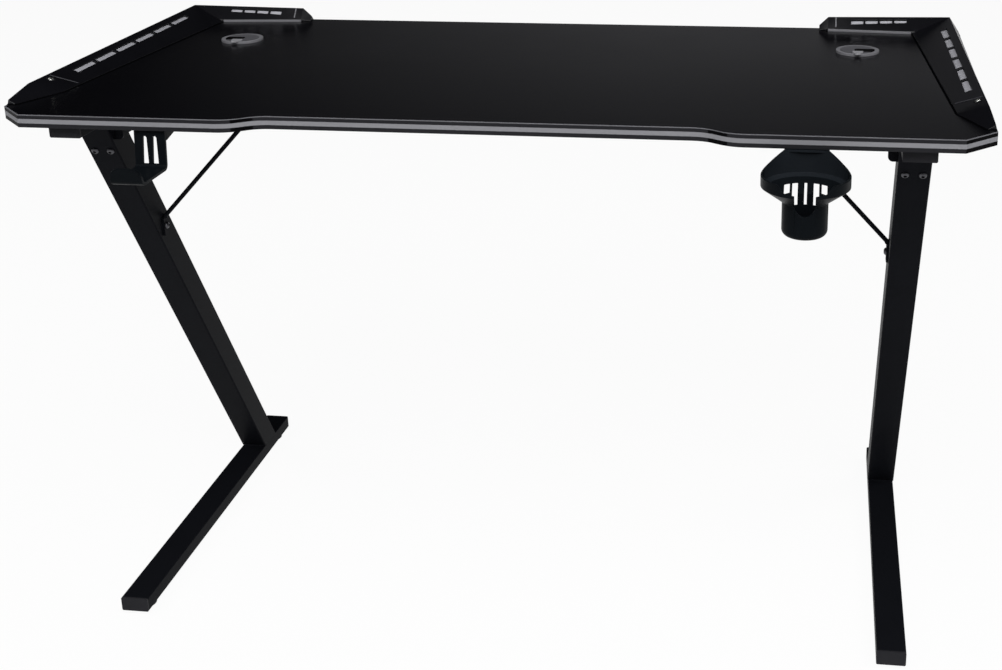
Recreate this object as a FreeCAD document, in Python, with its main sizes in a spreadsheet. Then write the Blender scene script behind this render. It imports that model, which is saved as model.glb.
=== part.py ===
import FreeCAD, Part
import Sketcher
import math
import os
import re

# Sizes in millimetres, one named cell each; an inset is counted inward from the top's edge
SIZES = {
    # Desktop
    "top_width": 1200, "top_depth": 600, "top_height": 722, "top_thick": 16, "band_thick": 1.5,
    "corner_cut": 38, "recess_deep": 22, "recess_inset": 285, "recess_run": 62,
    # Light wings
    "wing_edge": 0.5, "wing_lip": 1.6, "wing_wall": 2.5, "wing_rim": 3, "wing_front_rise": 16.5,
    "wing_nose": 6.8, "wing_front_wide": 40, "wing_back_wide": 68, "wing_fold_inset": 112,
    "wing_tip_inset": 45, "ridge_end_inset": 92, "ridge_front_inset": 6, "ridge_back_inset": 14,
    "rear_wide": 38, "rear_taper": 16, "rear_ridge_inset": 8, "rear_rise": 21.5, "rear_drop": 2.5,
    "rear_lip": 3.4, "rear_arm_inset": 192, "rear_end_long": 13, "rear_end_rise": 6.5, "trim_thick": 2.5,
    "side_slot_drop": 14, "side_slot_wide": 8, "side_slot_gap": 6, "side_slot_lead": 70, "side_slot_tail": 71,
    "rear_slot_inset": 15, "rear_slot_wide": 5.5, "rear_slot_long": 18, "rear_slot_gap": 3.1,
    "rear_slot_lead": 34, "diffuser_thick": 1.6, "diffuser_lap": 2.5, "strip_gap": 0.2,
    "led_thick": 0.8, "led_wide": 8,
    # Cable grommets
    "grommet_side_inset": 151, "grommet_back_inset": 162, "grommet_flange": 30, "grommet_bore": 24,
    "grommet_hole": 27, "grommet_lip": 3.6, "grommet_ledge": 2, "grommet_seat": 2.8, "grommet_barrel": 18,
    "barrel_gap": 0.3, "cap_fit": 0.06, "cap_rise": 0.3, "tab_reach": 36, "tab_thick": 1.8, "tab_wide": 15,
    "notch_wide": 12, "notch_deep": 28, "notch_round": 5,
    # Leg frames
    "leg_inset": 86.5, "leg_width": 40, "leg_depth": 47, "leg_top_inset": 80, "leg_low_inset": 114.5,
    "tube_wall": 1.5, "tube_round": 2, "rail_high": 17, "rail_inset": 20, "foot_high": 20, "foot_width": 38,
    "foot_front_inset": 39, "foot_rear_inset": 8, "stub_gap": 0.3, "stub_wall": 2, "stub_long": 87,
    "cap_flange": 2.5, "cap_plug": 12, "cap_gap": 0.2, "cap_wall": 2,
    "bracket_wing": 12, "bracket_thick": 3, "bracket_low": 25, "bracket_high": 40, "bracket_setback": 22,
    "bracket_long": 44, "bracket_bolt_setback": 12,
    # Crossbars and braces
    "bar_deep": 30, "bar_rear_inset": 120, "bar_plate": 3, "bar_plate_long": 72,
    "rod_r": 3, "strap_thick": 3, "strap_wide": 14, "strap_long": 26, "brace_high": 180, "brace_wide": 176.5,
    # Levelling feet
    "leveller_high": 6, "leveller_r": 16, "leveller_edge": 1.2, "stud_r": 4, "stud_long": 17, "stud_fit": 0.05,
    "sleeve_r": 6, "sleeve_high": 10, "sleeve_flange": 8, "sleeve_lip": 1.5, "sleeve_gap": 0.1,
    "leveller_setback": 27,
    # Fasteners
    "bolt_r": 3, "bolt_head": 5, "bolt_crown": 3.2, "bolt_high": 3, "bolt_gap": 0.1, "screw_bite": 11,
    "leg_bolt_low": 42, "leg_bolt_half": 10.5, "leg_bolt_grip": 12, "plate_bolt_grip": 9,
    "rail_screw_setback": 34, "bar_screw_half": 150,
    # Cup holder
    "cup_inset": 214, "cup_reach": 46, "ring_r": 50, "cup_r": 25.8, "cup_wall": 2.6, "rim_low": 16,
    "band_low": 28.5, "cone_low": 46, "cup_high": 86, "cup_round": 8,
    "shield_top": 25.5, "shield_low": 41.5, "shield_turn": 11, "flange_thick": 3, "flange_lap": 54,
    "cup_notch_top": 30, "cup_notch_mid": 23, "cup_notch_turn": 24.5, "cup_notch_half": 11.5,
    "cup_notch_neck": 26, "cup_notch_deep": 45, "cup_slot_wide": 6.2, "cup_slot_thin": 3, "cup_slot_near": 12,
    "cup_slot_far": 21, "cup_slot_top": 36.3, "cup_slot_low": 58.5, "cup_slot_short": 44,
    "cup_screw_half": 15, "cup_screw_lap": 30,
    # Headphone hook
    "hook_side_inset": 201, "hook_wide": 39, "hook_thick": 4, "hook_inset": 6, "hook_high": 49, "hook_tilt": 5,
    "hook_reach": 70, "hook_lip": 22, "hook_lean": 5, "hook_corner": 13, "hook_bend": 8, "hook_back": 50,
    "hook_rib": 10, "hook_slot_wide": 5, "hook_slot_foot": 7.5, "hook_slot_pitch": 12.5, "hook_slot_top": 8,
    "hook_slot_low": 42, "hook_screw_half": 10, "hook_screw_lap": 24,
}

# Places worked out from the sizes: x and y from the desk's middle, levels from the floor
PLACES = {
    "under": "top_height - top_thick",
    "rail_low": "under - rail_high",
    "foot_top": "leveller_high + foot_high",
    "out_x": "top_width / 2 - wing_edge",
    "out_y": "top_depth / 2 - wing_edge",
    "recess_half": "top_width / 2 - recess_inset",
    "wing_in_front": "top_width / 2 - wing_front_wide",
    "wing_in_back": "top_width / 2 - wing_back_wide",
    "wing_fold_out": "top_depth / 2 - wing_fold_inset",
    "wing_tip_out": "top_depth / 2 - wing_tip_inset",
    "ridge_end_out": "top_depth / 2 - ridge_end_inset",
    "ridge_front_x": "top_width / 2 - ridge_front_inset",
    "ridge_back_x": "top_width / 2 - ridge_back_inset",
    "rear_in": "top_depth / 2 - rear_wide",
    "rear_ridge": "top_depth / 2 - rear_ridge_inset",
    "rear_full_x": "top_width / 2 - rear_arm_inset",
    "rear_end_x": "rear_full_x - rear_end_long",
    "side_slot_start": "wing_fold_out - side_slot_lead",
    "side_slot_end": "top_depth / 2 - side_slot_tail",
    "side_slot_long": "(side_slot_start + side_slot_end - 5 * side_slot_gap) / 6",
    "rear_slot_y": "top_depth / 2 - rear_slot_inset",
    "rear_slot_start": "rear_full_x + rear_slot_lead",
    "grommet_x": "top_width / 2 - grommet_side_inset",
    "grommet_y": "top_depth / 2 - grommet_back_inset",
    "leg_x": "top_width / 2 - leg_inset",
    "leg_inside": "leg_x - leg_width / 2",
    "leg_top_out": "top_depth / 2 - leg_top_inset",
    "leg_low_in": "top_depth / 2 - leg_low_inset",
    "leg_rise": "rail_low - foot_top",
    "leg_run": "leg_low_in + leg_top_out",
    "leg_stretch": "sqrt(leg_rise^2 + leg_run^2) / leg_rise",
    "rail_half": "top_depth / 2 - rail_inset",
    "foot_front": "top_depth / 2 - foot_front_inset",
    "foot_rear": "top_depth / 2 - foot_rear_inset",
    "bracket_front": "leg_top_out - bracket_setback",
    "brace_low": "rail_low - brace_high",
    "brace_top_x": "leg_x - brace_wide",
    "bar_front": "leg_top_out - leg_depth / 2 - brace_high * leg_run / leg_rise",
    "bar_rear": "top_depth / 2 - bar_rear_inset",
    "cup_x": "top_width / 2 - cup_inset",
    "cup_out": "top_depth / 2 + cup_reach",
    "hook_x": "top_width / 2 - hook_side_inset",
    "hook_face": "top_depth / 2 - hook_inset",
    "centre_y": "(cup_reach + sqrt(ring_r^2 - cup_notch_half^2)) / 2",
}

doc = FreeCAD.newDocument("gaming_desk")
sheet = doc.addObject("Spreadsheet::Sheet", "dims")
for row, (name, value) in enumerate(SIZES.items(), start=1):
    sheet.set(f"A{row}", name)
    sheet.set(f"B{row}", str(value))
    sheet.setAlias(f"B{row}", name)
trial = doc.addObject("Spreadsheet::Sheet", "trial")
doc.recompute()

nodes = []
Z_AXIS = FreeCAD.Vector(0, 0, 1)


def tie(expr):
    """The same expression with every place worked out and every size read from the sheet."""
    def meaning(word):
        name = word.group(0)
        return f"({tie(PLACES[name])})" if name in PLACES else "dims." + name
    return re.sub(r"\b[a-z][a-z_0-9]*\b(?!\s*\()", meaning, expr)


def num(expr):
    """The present value of an expression, worked out in a sheet of its own."""
    trial.set("A1", "=" + tie(expr))
    trial.recompute()
    return float(trial.get("A1"))


def bind(thing, **settings):
    for prop, expr in settings.items():
        thing.setExpression(prop, tie(expr))


def place(thing, x="0", y="0", z="0", axis=None, angle="0"):
    """Binds the placement; y is counted from the desk's middle."""
    if axis:
        thing.Placement = FreeCAD.Placement(FreeCAD.Vector(), FreeCAD.Rotation(FreeCAD.Vector(*axis), 90))
        thing.setExpression("Placement.Rotation.Angle", tie(angle))
    thing.setExpression("Placement.Base.x", tie(x))
    thing.setExpression("Placement.Base.y", tie(f"{y} + centre_y"))
    thing.setExpression("Placement.Base.z", tie(z))


def keep(thing, label):
    thing.Label = label
    nodes.append(thing)
    return thing


def new_body(label, x="0", y="0", z="0"):
    part = doc.addObject("PartDesign::Body", label)
    place(part, x, y, z)
    return part


def sketch(part, role, lift="0"):
    """A sketch on one of the body's own planes, moved along the plane's normal."""
    sk = part.newObject("Sketcher::SketchObject", part.Name + "_sketch")
    plane = [feature for feature in part.Origin.OriginFeatures if feature.Role == role][0]
    sk.AttachmentSupport = [(plane, "")]
    sk.MapMode = "FlatFace"
    sk.setExpression("AttachmentOffset.Base.z", tie(lift))
    return sk


def pin_point(sk, geo, pos, x, y):
    """Holds one sketch point at a pair of expressions."""
    for kind, expr in (("DistanceX", x), ("DistanceY", y)):
        index = sk.addConstraint(Sketcher.Constraint(kind, -1, 1, geo, pos, num(expr)))
        sk.setExpression(f"Constraints[{index}]", tie(expr))


def arc_between(start, end, centre_x):
    """An arc through two points with its centre's x known, and whether it runs anticlockwise."""
    top = start.y ** 2 - end.y ** 2 + (start.x - centre_x) ** 2 - (end.x - centre_x) ** 2
    centre = FreeCAD.Vector(centre_x, top / (2 * (start.y - end.y)), 0)
    first = math.atan2(start.y - centre.y, start.x - centre.x)
    last = math.atan2(end.y - centre.y, end.x - centre.x)
    forward = (last - first) % (2 * math.pi) < math.pi
    circle = Part.Circle(centre, Z_AXIS, (start - centre).Length)
    ends = (first, last) if forward else (last, first)
    return Part.ArcOfCircle(circle, *ends), forward


def outline(sk, points, arcs=None):
    """Closed outline through points given as expressions; arcs gives a side's centre x by index."""
    arcs = arcs or {}
    spots = [FreeCAD.Vector(num(x), num(y), 0) for x, y in points]
    base = sk.GeometryCount
    starts = []
    for i, spot in enumerate(spots):
        following = spots[(i + 1) % len(spots)]
        forward = True
        if i in arcs:
            curve, forward = arc_between(spot, following, num(arcs[i]))
            sk.addGeometry(curve, False)
        else:
            sk.addGeometry(Part.LineSegment(spot, following), False)
        starts.append(1 if forward else 2)
    for i, (x, y) in enumerate(points):
        other = (i - 1) % len(points)
        sk.addConstraint(Sketcher.Constraint("Coincident", base + other, 3 - starts[other], base + i, starts[i]))
        pin_point(sk, base + i, starts[i], x, y)
    for i, centre_x in arcs.items():
        index = sk.addConstraint(Sketcher.Constraint("DistanceX", -1, 1, base + i, 3, num(centre_x)))
        sk.setExpression(f"Constraints[{index}]", tie(centre_x))
    return sk


def rectangle(sk, x0, x1, y0, y1):
    return outline(sk, [(x0, y0), (x1, y0), (x1, y1), (x0, y1)])


def circle(sk, x, y, r):
    index = sk.addGeometry(Part.Circle(FreeCAD.Vector(num(x), num(y), 0), Z_AXIS, num(r)), False)
    pin_point(sk, index, 3, x, y)
    held = sk.addConstraint(Sketcher.Constraint("Radius", index, num(r)))
    sk.setExpression(f"Constraints[{held}]", tie(r))
    return sk


def extrude(part, sk, length, kind="Pad", flip=False):
    feature = part.newObject("PartDesign::" + kind, part.Name + "_" + kind.lower())
    feature.Profile = sk
    feature.Reversed = flip
    bind(feature, Length=length)
    doc.recompute()
    return feature


def loft(part, sections, kind="AdditiveLoft"):
    feature = part.newObject("PartDesign::" + kind, part.Name + "_loft")
    feature.Profile = sections[0]
    feature.Sections = sections[1:]
    feature.Ruled = True
    doc.recompute()
    return feature


def soften(part, base, radius, chosen, kind="Fillet"):
    """Rounds or bevels the edges that the test picks."""
    names = [f"Edge{i}" for i, edge in enumerate(base.Shape.Edges, start=1) if chosen(edge)]
    feature = part.newObject("PartDesign::" + kind, part.Name + "_" + kind.lower())
    feature.Base = (base, names)
    bind(feature, **{"Radius" if kind == "Fillet" else "Size": radius})
    doc.recompute()
    return feature


def outer_edges(shape, shortest=0, longest=math.inf):
    """Picks straight edges of a length that lie on two outer faces of a tube or plate along Y."""
    box = shape.BoundBox

    def chosen(edge):
        ends = [v.Point for v in edge.Vertexes]
        sides = all(min(abs(p.x - box.XMin), abs(p.x - box.XMax)) < 0.01 for p in ends)
        rises = abs(ends[0].z - ends[-1].z) > 0.01
        outside = min(abs(ends[0].z - box.ZMin), abs(ends[0].z - box.ZMax)) < 0.01
        along = abs(ends[0].y - ends[-1].y) > 0.01
        return sides and (rises or outside) and along and shortest < edge.Length < longest
    return chosen


def simple(kind, name, **sizes):
    thing = doc.addObject("Part::" + kind, name)
    bind(thing, **sizes)
    return thing


def fused(name, shapes):
    joined = doc.addObject("Part::MultiFuse", name)
    joined.Shapes = shapes
    return joined


def group(name, shapes):
    gathered = doc.addObject("Part::Compound", name)
    gathered.Links = shapes
    return gathered


def mirrored(source, name):
    copy = doc.addObject("Part::Mirroring", name)
    copy.Source = source
    copy.Normal = FreeCAD.Vector(1, 0, 0)
    return copy


def drilled(part, tools, name):
    cut = doc.addObject("Part::Cut", name)
    cut.Base = part
    cut.Tool = tools[0] if len(tools) == 1 else fused(name + "_drills", tools)
    return cut


def pair(thing, label):
    """Keeps the right-hand piece and its mirror image."""
    keep(thing, "right_" + label)
    keep(mirrored(thing, "left_" + label), "left_" + label)


def fastener(name, at, grip, axis=None, angle="0"):
    """A round-headed bolt seated at a point, shank along its axis, and the tool for its hole."""
    crown = simple("Cone", name + "_crown", Radius1="bolt_crown", Radius2="bolt_head", Height="bolt_high")
    crown.setExpression("Placement.Base.z", tie("-bolt_high"))
    shank = simple("Cylinder", name + "_shank", Radius="bolt_r", Height=grip)
    bolt = fused(name, [crown, shank])
    tool = simple("Cylinder", name + "_tool", Radius="bolt_r + bolt_gap", Height=f"{grip} + bolt_gap")
    for thing in (bolt, tool):
        place(thing, *at, axis=axis, angle=angle)
    return bolt, tool


def both_sides(bolts, label):
    """One node for like fasteners of the right side and their mirror images."""
    right = group(label + "_right", bolts)
    return keep(group(label, [right, mirrored(right, label + "_left")]), label)


def with_mirror(tools, name):
    right = group(name + "_right", tools)
    return [right, mirrored(right, name + "_left")]


# Fasteners, seated on the faces they clamp
ALONG_X = {"axis": (0, 1, 0), "angle": "90"}
ACROSS_LEG = {"axis": (1, 0, 0), "angle": "-atan(leg_rise / leg_run)"}
leg_bolts, leg_tools = [], []
for i, side in enumerate(("-", "+")):
    spot = (f"leg_x {side} leg_bolt_half", "leg_bolt_low * leg_run / leg_rise - leg_top_out",
            "rail_low - leg_bolt_low")
    bolt, tool = fastener(f"leg_bolt_{i}", spot, "leg_bolt_grip", **ACROSS_LEG)
    leg_bolts.append(bolt)
    leg_tools.append(tool)
bar_bolts, bar_tools = [], []
for bar, middle in (("front", "-bar_front"), ("rear", "bar_rear")):
    for i, side in enumerate(("-", "+")):
        spot = ("leg_inside - bar_plate", f"{middle} {side} (bar_deep + bar_plate_long) / 4",
                "under - rail_high / 2")
        bolt, tool = fastener(f"{bar}_bar_bolt_{i}", spot, "plate_bolt_grip", **ALONG_X)
        bar_bolts.append(bolt)
        bar_tools.append(tool)
bracket_bolts, bracket_tools = [], []
for i, level in enumerate(("under - rail_high / 2", "rail_low - bracket_low / 2")):
    spot = ("leg_inside - bracket_thick", "bracket_bolt_setback - bracket_front", level)
    bolt, tool = fastener(f"bracket_bolt_{i}", spot, "plate_bolt_grip", **ALONG_X)
    bracket_bolts.append(bolt)
    bracket_tools.append(tool)
brace_low_bolt, brace_low_tool = fastener(
    "brace_low_bolt", ("leg_inside - strap_thick", "-bar_front", "brace_low"), "plate_bolt_grip", **ALONG_X)
brace_top_bolt, brace_top_tool = fastener(
    "brace_top_bolt", ("brace_top_x - strap_long / 2", "-bar_front", "rail_low - strap_thick"),
    "plate_bolt_grip")
rail_screws, rail_tools = [], []
for i, y in enumerate(("rail_screw_setback - rail_half", "0", "rail_half - rail_screw_setback")):
    screw, tool = fastener(f"rail_screw_{i}", ("leg_x", y, "rail_low"), "rail_high + screw_bite")
    rail_screws.append(screw)
    rail_tools.append(tool)
bar_screws, bar_screw_tools = [], []
for i, y in enumerate(("-bar_front", "bar_rear")):
    screw, tool = fastener(f"bar_screw_{i}", ("bar_screw_half", y, "rail_low"), "rail_high + screw_bite")
    bar_screws.append(screw)
    bar_screw_tools.append(tool)
cup_screws, cup_tools = [], []
hook_screws, hook_tools = [], []
for i, side in enumerate(("-", "+")):
    spot = (f"cup_x {side} cup_screw_half", "cup_screw_lap - top_depth / 2", "under - flange_thick")
    screw, tool = fastener(f"cup_screw_{i}", spot, "flange_thick + screw_bite")
    cup_screws.append(screw)
    cup_tools.append(tool)
    spot = (f"-hook_x {side} hook_screw_half", "hook_screw_lap - hook_face", "under - hook_thick")
    screw, tool = fastener(f"hook_screw_{i}", spot, "hook_thick + screw_bite")
    hook_screws.append(screw)
    hook_tools.append(tool)


# Desktop: the outline with cut corners and a curved recess along the front
def top_points(inset):
    """Points of the top's outline, drawn in by an inset, and the arcs of the recess."""
    turn = f"{inset} * (sqrt(2) - 1)"
    arc_r = "((recess_run^2 + recess_deep^2) / (4 * recess_deep))"
    front = "(-top_depth / 2)"
    mid_x = "(recess_half - recess_run / 2)"
    slide = f"(recess_run / 2 * {inset} / {arc_r})"
    mid_y = f"({front} + recess_deep / 2 + {inset} * (1 - recess_deep / 2 / {arc_r}))"
    right = [("recess_half - recess_run", f"{front} + recess_deep + {inset}"),
             (f"{mid_x} - {slide}", mid_y),
             ("recess_half", f"{front} + {inset}"),
             (f"top_width / 2 - corner_cut - {turn}", f"{front} + {inset}"),
             (f"top_width / 2 - {inset}", f"{front} + corner_cut + {turn}"),
             (f"top_width / 2 - {inset}", f"top_depth / 2 - {inset}")]
    left = [(f"-({x})", y) for x, y in reversed(right)]
    arcs = {0: "recess_half - recess_run", 1: "recess_half", 9: "-recess_half", 10: "recess_run - recess_half"}
    return right + left, arcs


board = new_body("board_blank")
extrude(board, outline(sketch(board, "XY_Plane", "under"), *top_points("band_thick")), "top_thick")
holes = sketch(board, "XY_Plane", "top_height")
for side in ("", "-"):
    circle(holes, f"{side}grommet_x", "grommet_y", "grommet_hole")
extrude(board, holes, "top_thick", "Pocket")
board_tools = with_mirror(rail_tools + bar_screw_tools, "board_drills") + cup_tools + hook_tools
keep(drilled(board, board_tools, "desktop_board"), "desktop_board")

band = new_body("edge_band")
extrude(band, outline(sketch(band, "XY_Plane", "under"), *top_points("0")), "top_thick")
extrude(band, outline(sketch(band, "XY_Plane", "top_height"), *top_points("band_thick")), "top_thick", "Pocket")
keep(band, "edge_band")


# Light wing: two roof-shaped arms that meet in a mitre, hollow from below
def wing_inner_x(y):
    part_way = f"({y} + wing_fold_out) / (rear_in + wing_fold_out)"
    return f"(wing_in_front + (wing_in_back - wing_in_front) * {part_way})"


def ridge_x(y):
    part_way = f"({y} + wing_fold_out) / (rear_ridge + wing_fold_out)"
    return f"(ridge_front_x + (ridge_back_x - ridge_front_x) * {part_way})"


def ridge_rise(y):
    part_way = f"({y} + wing_fold_out) / (rear_ridge + wing_fold_out)"
    return f"(wing_front_rise + (rear_rise - wing_front_rise) * {part_way})"


def slot_x(y):
    """Middle of the side slots' row, which follows the ridge."""
    return f"({ridge_x(y)} - side_slot_drop)"


def side_grade(y):
    """Rise of the side arm's sloping face for each millimetre outward."""
    return f"(({ridge_rise(y)} - wing_lip) / ({ridge_x(y)} - {wing_inner_x(y)}))"


def side_height(x, y):
    """Height of the side arm's sloping face above a point."""
    return f"(top_height + wing_lip + {side_grade(y)} * ({x} - {wing_inner_x(y)}))"


def rear_front(x):
    """Front of the rear arm, which draws back towards the arm's end."""
    return f"(rear_in + rear_taper * (ridge_back_x - {x}) / (ridge_back_x - rear_full_x))"


def rear_top(x):
    """Rise of the rear arm's ridge, which drops a little towards the arm's end."""
    return f"(rear_rise - rear_drop * (ridge_back_x - {x}) / (ridge_back_x - rear_full_x))"


def rear_height(y, x):
    """Height of the rear arm's sloping face above a point."""
    part_way = f"({y} - {rear_front(x)}) / (rear_ridge - {rear_front(x)})"
    return f"(top_height + rear_lip + ({rear_top(x)} - rear_lip) * {part_way})"


def facet_grades():
    """Grades across and along the flat facet between the fold's corner, the ridge's end and the nose."""
    ridge_out = f"({ridge_x('(-ridge_end_out)')} - wing_in_front)"
    ridge_up = f"({ridge_rise('(-ridge_end_out)')} - wing_lip)"
    ridge_on = "(ridge_end_out - wing_fold_out)"
    nose_out = "(out_x - wing_in_front)"
    nose_up = "(wing_nose - wing_lip)"
    nose_on = "(wing_tip_out - wing_fold_out)"
    across = (f"(({ridge_up} * {nose_on} - {nose_up} * {ridge_on})"
              f" / ({ridge_out} * {nose_on} - {nose_out} * {ridge_on}))")
    return across, f"(({across} * {ridge_out} - {ridge_up}) / {ridge_on})"


def facet_height(x, y):
    across, along = facet_grades()
    return f"(top_height + wing_lip + {across} * ({x} - wing_in_front) + {along} * ({y} + wing_fold_out))"


def side_section(part, y, points):
    return outline(sketch(part, "XZ_Plane", f"-({y})"), points)


def rear_section(part, x, points):
    return outline(sketch(part, "YZ_Plane", x), points)


def side_roof(part, y):
    x = ridge_x(y)
    return side_section(part, y, [
        (wing_inner_x(y), "top_height"), ("out_x", "top_height"), (x, side_height(x, y)),
        (wing_inner_x(y), "top_height + wing_lip")])


def rear_roof(part, x, front=None, lip="rear_lip", rise=None):
    front = front or rear_front(x)
    rise = rise or rear_top(x)
    return rear_section(part, x, [
        (front, "top_height"), ("out_y", "top_height"), ("rear_ridge", f"top_height + {rise}"),
        (front, f"top_height + {lip}")])


def side_hollow(part, y):
    """Section of the side arm's cavity, level with the roof and one wall below it."""
    x = f"({ridge_x(y)} - wing_rim / 2)"
    low = f"({wing_inner_x(y)} + (wing_wall - wing_lip) / {side_grade(y)})"
    return side_section(part, y, [(low, "top_height"), ("out_x - wing_rim", "top_height"),
                                  (x, f"{side_height(x, y)} - wing_wall")])


def rear_hollow(part, x):
    y = "(rear_ridge - wing_rim / 2)"
    front = f"({rear_front(x)} + wing_rim)"
    return rear_section(part, x, [
        (front, "top_height"), ("out_y - wing_rim", "top_height"),
        (y, f"{rear_height(y, x)} - wing_wall"), (front, f"{rear_height(front, x)} - wing_wall")])


def cut_facet(part):
    """Takes off the front of the side arm above the facet, along the facet's own slope."""
    low, high, over = "(wing_in_front - wing_rim)", "(out_x + wing_rim)", "(top_height + rear_rise * 2)"
    y = "(-wing_tip_out)"
    above = side_section(part, y, [
        (low, facet_height(low, y)), (high, facet_height(high, y)), (high, over), (low, over)])
    cut = extrude(part, above, "wing_tip_out - wing_fold_out", "Pocket")
    cut.UseCustomVector = True
    cut.Direction = FreeCAD.Vector(0, 1, num(facet_grades()[1]))
    bind(cut, **{"Direction.z": facet_grades()[1]})
    doc.recompute()


wing = new_body("wing_shell")
back_low = side_section(wing, "out_y", [
    (wing_inner_x("out_y"), "top_height"), ("out_x", "top_height"),
    (ridge_x("out_y"), "top_height + wing_edge"), (wing_inner_x("out_y"), "top_height + wing_edge")])
loft(wing, [back_low, side_roof(wing, "rear_ridge"), side_roof(wing, "(-wing_tip_out)")])
cut_facet(wing)
corner_low = rear_roof(wing, "out_x", lip="wing_edge", rise="wing_edge * 2")
tip_front = f"(({rear_front('rear_full_x')} + rear_ridge) / 2)"
rear_tip = rear_roof(wing, "rear_end_x", front=tip_front, lip="wing_edge", rise="rear_end_rise")
loft(wing, [corner_low, rear_roof(wing, "ridge_back_x"), rear_roof(wing, "rear_full_x"), rear_tip])
side_cavity = [side_hollow(wing, "(rear_ridge - wing_rim)"), side_hollow(wing, "(wing_rim - wing_fold_out)")]
loft(wing, side_cavity, "SubtractiveLoft")
rear_cavity = [rear_hollow(wing, "(ridge_back_x - wing_rim)"), rear_hollow(wing, "(rear_full_x + wing_rim)")]
loft(wing, rear_cavity, "SubtractiveLoft")
slots = sketch(wing, "XY_Plane", "top_height + rear_rise * 2")
for i in range(6):
    start = f"({i} * (side_slot_long + side_slot_gap) - side_slot_start)"
    end = f"({start} + side_slot_long)"
    half = "side_slot_wide / 2"
    outline(slots, [(f"{slot_x(start)} - {half}", start), (f"{slot_x(start)} + {half}", start),
                    (f"{slot_x(end)} + {half}", end), (f"{slot_x(end)} - {half}", end)])
for i in range(4):
    start = f"({i} * (rear_slot_long + rear_slot_gap) + rear_slot_start)"
    rectangle(slots, start, f"{start} + rear_slot_long",
              "rear_slot_y - rear_slot_wide / 2", "rear_slot_y + rear_slot_wide / 2")
extrude(wing, slots, "rear_rise * 2", "Pocket")
pair(wing, "wing_shell")


def side_strip(label, lap, top, thick):
    """A strip on the inner side of the side slope, reaching past the slots by a lap."""
    part = new_body(label)
    sections = []
    reach = "(6 * side_slot_long + 5 * side_slot_gap - side_slot_start)"
    for y in ("(-side_slot_start - diffuser_lap)", f"({reach} + diffuser_lap)"):
        low, high = f"({slot_x(y)} - {lap})", f"({slot_x(y)} + {lap})"
        sections.append(side_section(part, y, [(low, f"{side_height(low, y)} - {top} - {thick}"),
                                               (high, f"{side_height(high, y)} - {top} - {thick}"),
                                               (high, f"{side_height(high, y)} - {top}"),
                                               (low, f"{side_height(low, y)} - {top}")]))
    loft(part, sections)
    pair(part, label)


def rear_strip(label, lap, top, thick):
    part = new_body(label)
    low, high = f"(rear_slot_y - {lap})", f"(rear_slot_y + {lap})"
    sections = []
    reach = "(4 * rear_slot_long + 3 * rear_slot_gap + rear_slot_start)"
    for x in ("(rear_slot_start - diffuser_lap)", f"({reach} + diffuser_lap)"):
        sections.append(rear_section(part, x, [
            (low, f"{rear_height(low, x)} - {top} - {thick}"),
            (high, f"{rear_height(high, x)} - {top} - {thick}"),
            (high, f"{rear_height(high, x)} - {top}"), (low, f"{rear_height(low, x)} - {top}")]))
    loft(part, sections)
    pair(part, label)


ceiling = "(wing_wall + strip_gap)"
diffuser_back = f"({ceiling} + diffuser_thick + strip_gap)"
side_strip("side_diffuser", "(side_slot_wide / 2 + diffuser_lap)", ceiling, "diffuser_thick")
side_strip("side_led_strip", "(led_wide / 2)", diffuser_back, "led_thick")
rear_strip("rear_diffuser", "(rear_slot_wide / 2 + diffuser_lap)", ceiling, "diffuser_thick")
rear_strip("rear_led_strip", "(led_wide / 2)", diffuser_back, "led_thick")
trim = new_body("rear_trim")
near, far = "rear_full_x", f"({wing_inner_x('rear_in')} - trim_thick)"
strip = outline(sketch(trim, "XY_Plane", "top_height"), [
    (near, f"{rear_front(near)} - trim_thick"), (far, f"{rear_front(far)} - trim_thick"),
    (far, rear_front(far)), (near, rear_front(near))])
extrude(trim, strip, "rear_lip")
pair(trim, "rear_trim")

# Cable grommets: a flanged ring in the board and a cap that turns on its ledge
ring = new_body("grommet_ring", "grommet_x", "grommet_y", "top_height")
profile = outline(sketch(ring, "XZ_Plane"), [
    ("grommet_bore", "-grommet_seat"), ("grommet_bore", "grommet_lip"), ("grommet_flange", "grommet_lip"),
    ("grommet_flange", "0"), ("grommet_hole - barrel_gap", "0"),
    ("grommet_hole - barrel_gap", "-grommet_barrel"),
    ("grommet_bore - grommet_ledge", "-grommet_barrel"), ("grommet_bore - grommet_ledge", "-grommet_seat")])
turned = ring.newObject("PartDesign::Revolution", "grommet_ring_turned")
turned.Profile = profile
turned.ReferenceAxis = (profile, ["V_Axis"])
pair(ring, "grommet_ring")
cap = new_body("grommet_cap", "grommet_x", "grommet_y", "top_height")
disc = circle(sketch(cap, "XY_Plane", "-grommet_seat"), "0", "0", "grommet_bore - cap_fit")
extrude(cap, disc, "grommet_seat + grommet_lip + cap_rise")
tab = outline(sketch(cap, "XY_Plane", "grommet_lip + cap_rise"), [
    ("-tab_wide / 2", "-grommet_bore / 2"), ("-tab_wide / 2", "-grommet_bore"), ("-tab_wide / 5", "-tab_reach"),
    ("tab_wide / 5", "-tab_reach"), ("tab_wide / 2", "-grommet_bore"), ("tab_wide / 2", "-grommet_bore / 2")])
extrude(cap, tab, "tab_thick")
notch = rectangle(sketch(cap, "XY_Plane", "grommet_lip + cap_rise + tab_thick"),
                  "grommet_bore - notch_deep", "grommet_flange", "-notch_wide / 2", "notch_wide / 2")
cut = extrude(cap, notch, "grommet_seat + grommet_lip + cap_rise + tab_thick", "Pocket")
notch_end = num("grommet_bore - notch_deep")
soften(cap, cut, "notch_round", lambda edge: all(abs(v.X - notch_end) < 0.01 for v in edge.Vertexes)
       and abs(edge.Vertexes[0].Z - edge.Vertexes[-1].Z) > 1)
pair(cap, "grommet_cap")


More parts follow.
